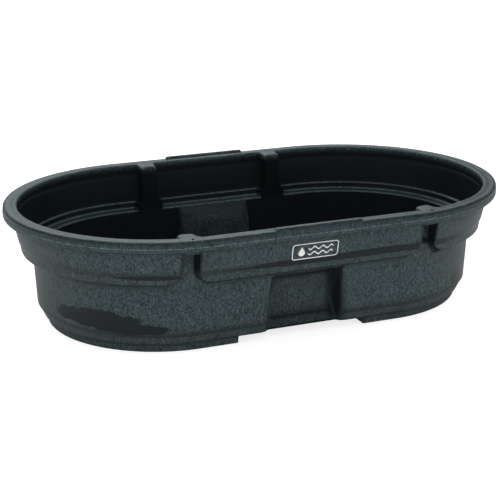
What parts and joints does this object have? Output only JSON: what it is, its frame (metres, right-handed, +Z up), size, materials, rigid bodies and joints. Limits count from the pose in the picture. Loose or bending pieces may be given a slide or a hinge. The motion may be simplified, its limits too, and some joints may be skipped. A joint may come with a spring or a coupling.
{
  "type": "livestock water trough",
  "caption": "Oval moulded-plastic livestock water trough with a stepped wall, thick rolled rim, side pockets, raised middle floor and a screw-in drain plug low in one end.",
  "frame": {"origin": "middle of the underside, on the ground the two feet stand on", "axes": "+X along the trough to its drain end, +Y to the side away from the label, +Z up"},
  "size_m": [1.321, 0.787, 0.311],
  "materials": {
    "foam": "moulded structural foam with a faint streaked swirl, satin",
    "label": "smooth printed film",
    "fitting": "satin moulded",
    "plug": "satin moulded",
    "rubber": "matt"
  },
  "bodies": {
    "trough": {"tank_body": "foam", "label": "label", "drain_bushing": "fitting", "drain_gasket": "rubber", "drain_washer": "rubber", "drain_locknut": "fitting"},
    "seal": {"plug_seal": "rubber"},
    "plug": {"drain_plug": "plug"}
  },
  "joints": [
    {"name": "plug_out", "type": "slide", "parent": "trough", "child": "seal", "axis": [1, 0, 0], "range_m": [0, 0.0235]},
    {"name": "plug_turn", "type": "hinge", "parent": "seal", "child": "plug", "pos_m": [0.6, 0, 0.07], "axis": [1, 0, 0], "range_deg": [0, 1656]}
  ],
  "couplings": [
    {"joint": "plug_out", "follows": "plug_turn", "m_per_rad": 0.00079577}
  ]
}
